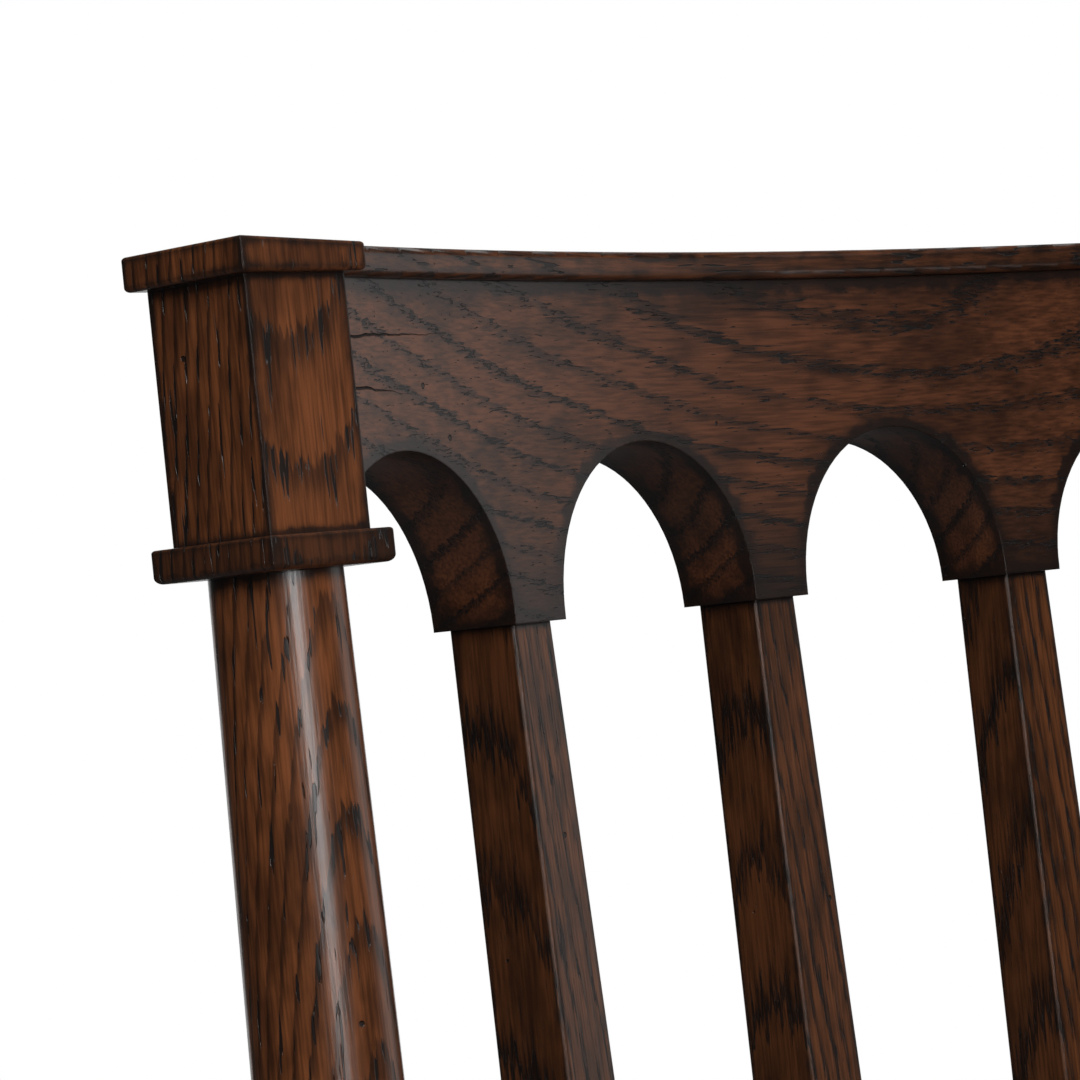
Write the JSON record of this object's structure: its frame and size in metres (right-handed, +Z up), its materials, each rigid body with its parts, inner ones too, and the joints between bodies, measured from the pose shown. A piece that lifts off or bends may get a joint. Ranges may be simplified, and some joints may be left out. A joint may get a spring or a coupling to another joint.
{
  "type": "dining armchair",
  "caption": "Dark oak dining armchair with a raked, curved arcaded crest rail, tapered spindles, turned and capped posts, scrolled arms, plank seat and box stretchers.",
  "frame": {"origin": "on the floor, in the middle of the chair's box", "axes": "+Z up, -Y towards the front of the chair, +X to the right seen from the front"},
  "size_m": [0.637, 0.6418, 0.9886],
  "materials": {
    "oak_post": "dark stained, waxed oak",
    "oak_rail": "dark stained, waxed oak",
    "oak_spindle": "dark stained, waxed oak",
    "oak_seat": "dark stained, waxed oak",
    "oak_arm": "dark stained, waxed oak",
    "plain_oak": "bare oak",
    "steel": "plain steel",
    "glide": "dark nylon"
  },
  "bodies": {
    "root": {"arm_left": "oak_arm", "arm_right": "oak_arm", "back_seat_rail": "oak_rail", "back_stretcher": "oak_rail", "corner_block_back_left": "plain_oak", "corner_block_back_right": "plain_oak", "corner_block_front_left": "plain_oak", "corner_block_front_right": "plain_oak", "corner_block_screws": "steel", "crest_moulding": "oak_rail", "crest_rail": "oak_rail", "foot_glides": "glide", "front_post_left": "oak_post", "front_post_right": "oak_post", "front_seat_rail": "oak_rail", "front_stretcher": "oak_rail", "left_seat_rail": "oak_rail", "left_stretcher": "oak_rail", "lower_back_rail": "oak_rail", "rear_post_left": "oak_post", "rear_post_right": "oak_post", "right_seat_rail": "oak_rail", "right_stretcher": "oak_rail", "seat_board_back": "oak_seat", "seat_board_front": "oak_seat", "seat_board_middle": "oak_seat", "seat_screws": "steel", "spindle_centre": "oak_spindle", "spindle_left": "oak_spindle", "spindle_right": "oak_spindle"}
  },
  "joints": []
}
